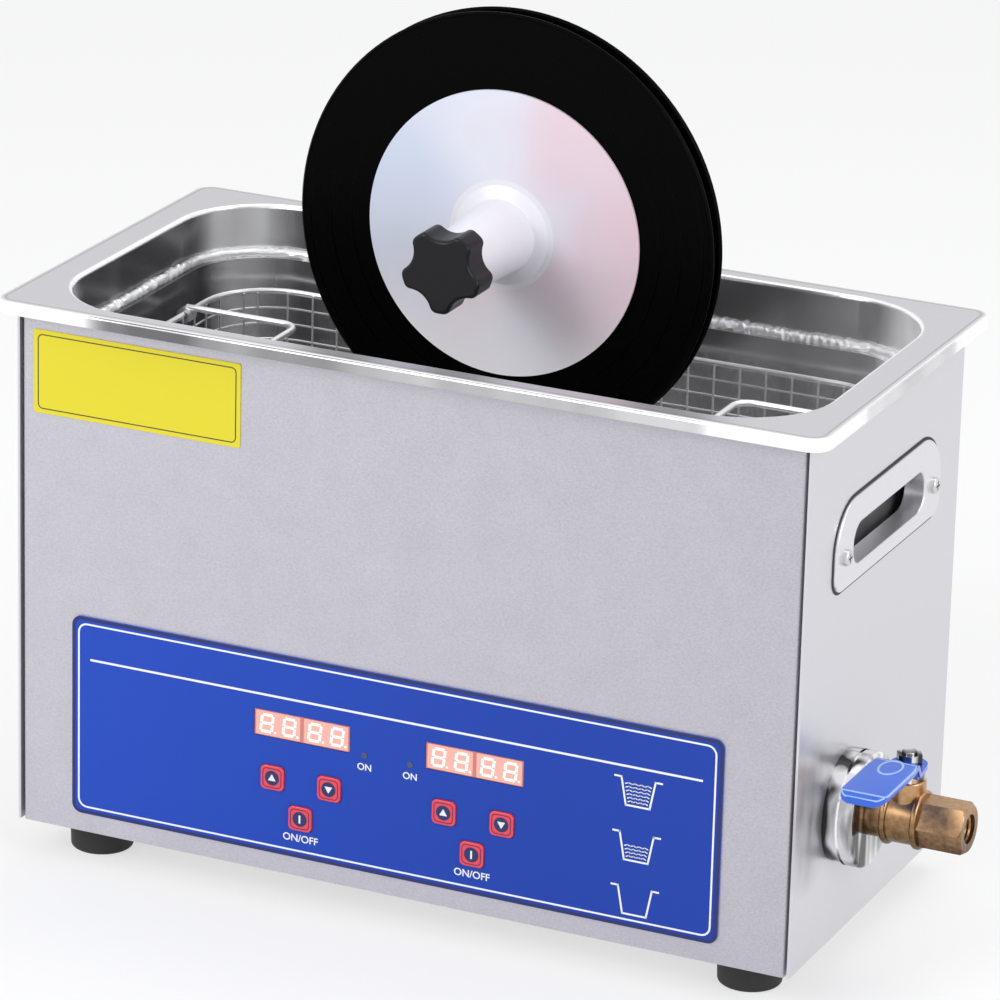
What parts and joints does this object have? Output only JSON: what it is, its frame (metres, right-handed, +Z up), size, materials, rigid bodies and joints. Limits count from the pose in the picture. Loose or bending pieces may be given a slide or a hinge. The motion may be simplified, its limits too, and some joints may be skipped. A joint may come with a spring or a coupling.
{
  "type": "record cleaning machine",
  "caption": "Ultrasonic bath in a steel cabinet with digital panel, drain valve and basket, and a motor-turned spindle that dips vinyl records in the tank.",
  "frame": {"origin": "centre of the base plate's underside", "axes": "+X to the machine's right (valve side), +Y to the rear, +Z up; the panel faces -Y"},
  "size_m": [0.3885, 0.199, 0.3463],
  "materials": {
    "front_steel": "mottled satin stainless",
    "cabinet_steel": "satin stainless",
    "tank_steel": "matt rim, smooth walls",
    "basket_wire": "drawn stainless wire",
    "handle_steel": "bright pressed steel",
    "screw_steel": "machined",
    "foot_rubber": "moulded",
    "overlay_blue": "printed membrane",
    "label_yellow": "printed foil",
    "display_red": "tinted window",
    "key_red": "moulded",
    "board_green": "circuit board",
    "horn_aluminium": "turned",
    "piezo_ceramic": "ceramic",
    "heater_rubber": "silicone",
    "fan_plastic": "moulded",
    "socket_plastic": "moulded",
    "pin_brass": "bright",
    "rocker_red": "moulded",
    "valve_chrome": "polished plating",
    "fitting_brass": "machined",
    "hose_rubber": "moulded",
    "lever_blue": "dipped coating",
    "record_vinyl": "grooved vinyl",
    "protector_plastic": "translucent moulded",
    "spacer_rubber": "moulded",
    "star_plastic": "moulded",
    "spindle_steel": "ground",
    "bracket_steel": "satin",
    "case_plastic": "moulded"
  },
  "bodies": {
    "cabinet": {"front_panel": "front_steel", "body_shell": "cabinet_steel", "bottom_plate": "cabinet_steel", "feet": "foot_rubber", "tank": "tank_steel", "control_overlay": "overlay_blue", "label_plate": "label_yellow", "control_board": "board_green", "temperature_display": "display_red", "timer_display": "display_red", "handle_left": "handle_steel", "handle_right": "handle_steel", "handle_screws": "screw_steel", "transducer_horns": "horn_aluminium", "piezo_stacks": "piezo_ceramic", "heater_pad": "heater_rubber", "generator_board": "board_green", "fan_frame": "fan_plastic", "power_inlet": "socket_plastic", "inlet_pins": "pin_brass", "switch_frame": "socket_plastic", "drain_fitting": "fitting_brass", "drain_hose": "hose_rubber", "valve_escutcheon": "valve_chrome", "valve_body": "fitting_brass", "valve_end": "fitting_brass", "packing_nut": "valve_chrome", "rim_bracket": "bracket_steel"},
    "fan": {"fan_rotor": "fan_plastic"},
    "rocker": {"switch_rocker": "rocker_red"},
    "valve": {"valve_ball": "valve_chrome", "valve_stem": "valve_chrome", "valve_lever": "lever_blue", "lever_nut": "valve_chrome"},
    "wire_basket": {"basket": "basket_wire"},
    "left_bail": {"bail_left": "basket_wire"},
    "right_bail": {"bail_right": "basket_wire"},
    "pad": {"clamp_pad": "spindle_steel"},
    "clamp": {"clamp_screw": "spindle_steel"},
    "slider": {"carrier": "bracket_steel", "motor_case": "case_plastic", "motor_cover": "case_plastic", "gear_motor": "screw_steel", "motor_bush": "fitting_brass"},
    "washer": {"knob_washer": "spindle_steel"},
    "lift_knob": {"height_knob": "star_plastic"},
    "record_shaft": {"spindle": "spindle_steel", "output_shaft": "spindle_steel", "rear_protector": "protector_plastic", "rear_record": "record_vinyl", "record_spacer": "spacer_rubber", "front_record": "record_vinyl"},
    "front_clamp": {"front_protector": "protector_plastic"},
    "star": {"star_knob": "star_plastic"},
    "key_temperature_up_body": {"key_temperature_up": "key_red"},
    "key_temperature_down_body": {"key_temperature_down": "key_red"},
    "key_heat_body": {"key_heat": "key_red"},
    "key_time_up_body": {"key_time_up": "key_red"},
    "key_time_down_body": {"key_time_down": "key_red"},
    "key_start_body": {"key_start": "key_red"}
  },
  "joints": [
    {"name": "fan_spin", "type": "hinge", "parent": "cabinet", "child": "fan", "pos_m": [-0.11, 0.072, 0.045], "axis": [0, 1, 0], "continuous": true},
    {"name": "power_switch", "type": "hinge", "parent": "cabinet", "child": "rocker", "pos_m": [0.05, 0.08, 0.042], "axis": [-1, 0, 0], "range_deg": [0, 16]},
    {"name": "valve_turn", "type": "hinge", "parent": "cabinet", "child": "valve", "pos_m": [0.1906, -0.0314, 0.053], "axis": [0, 0, 1], "range_deg": [0, 90]},
    {"name": "basket_lift", "type": "slide", "parent": "cabinet", "child": "wire_basket", "axis": [0, 0, 1], "range_m": [0, 0.03]},
    {"name": "left_bail_fold", "type": "hinge", "parent": "wire_basket", "child": "left_bail", "pos_m": [-0.1445, 0, 0.1845], "axis": [0, -1, 0], "range_deg": [0, 95]},
    {"name": "right_bail_fold", "type": "hinge", "parent": "wire_basket", "child": "right_bail", "pos_m": [0.1445, 0, 0.1845], "axis": [0, 1, 0], "range_deg": [0, 95]},
    {"name": "pad_slide", "type": "slide", "parent": "cabinet", "child": "pad", "axis": [0, 1, 0], "range_m": [0, 0.004]},
    {"name": "clamp_screw_turn", "type": "hinge", "parent": "pad", "child": "clamp", "pos_m": [0, 0.0905, 0.199], "axis": [0, 1, 0], "range_deg": [0, 1440]},
    {"name": "carrier_lift", "type": "slide", "parent": "cabinet", "child": "slider", "axis": [0, 0, 1], "range_m": [0, 0.04]},
    {"name": "washer_slide", "type": "slide", "parent": "slider", "child": "washer", "axis": [0, 1, 0], "range_m": [0, 0.0015]},
    {"name": "height_knob_turn", "type": "hinge", "parent": "washer", "child": "lift_knob", "pos_m": [0, 0.086, 0.238], "axis": [0, 1, 0], "range_deg": [0, 540]},
    {"name": "spindle_spin", "type": "hinge", "parent": "slider", "child": "record_shaft", "pos_m": [0, 0.012, 0.244], "axis": [0, 1, 0], "continuous": true},
    {"name": "protector_slide", "type": "slide", "parent": "record_shaft", "child": "front_clamp", "axis": [0, -1, 0], "range_m": [0, 0.006]},
    {"name": "star_knob_turn", "type": "hinge", "parent": "front_clamp", "child": "star", "pos_m": [0, -0.0445, 0.244], "axis": [0, -1, 0], "range_deg": [0, 2160]},
    {"name": "temperature_up_key_press", "type": "slide", "parent": "cabinet", "child": "key_temperature_up_body", "axis": [0, 1, 0], "range_m": [0, 0.0005], "stiffness_N_per_m": 800},
    {"name": "temperature_down_key_press", "type": "slide", "parent": "cabinet", "child": "key_temperature_down_body", "axis": [0, 1, 0], "range_m": [0, 0.0005], "stiffness_N_per_m": 800},
    {"name": "heat_key_press", "type": "slide", "parent": "cabinet", "child": "key_heat_body", "axis": [0, 1, 0], "range_m": [0, 0.0005], "stiffness_N_per_m": 800},
    {"name": "time_up_key_press", "type": "slide", "parent": "cabinet", "child": "key_time_up_body", "axis": [0, 1, 0], "range_m": [0, 0.0005], "stiffness_N_per_m": 800},
    {"name": "time_down_key_press", "type": "slide", "parent": "cabinet", "child": "key_time_down_body", "axis": [0, 1, 0], "range_m": [0, 0.0005], "stiffness_N_per_m": 800},
    {"name": "start_key_press", "type": "slide", "parent": "cabinet", "child": "key_start_body", "axis": [0, 1, 0], "range_m": [0, 0.0005], "stiffness_N_per_m": 800}
  ],
  "couplings": [
    {"joint": "pad_slide", "follows": "clamp_screw_turn", "m_per_rad": 0.00015915},
    {"joint": "washer_slide", "follows": "height_knob_turn", "m_per_rad": 0.00015915},
    {"joint": "protector_slide", "follows": "star_knob_turn", "m_per_rad": 0.00015915}
  ]
}
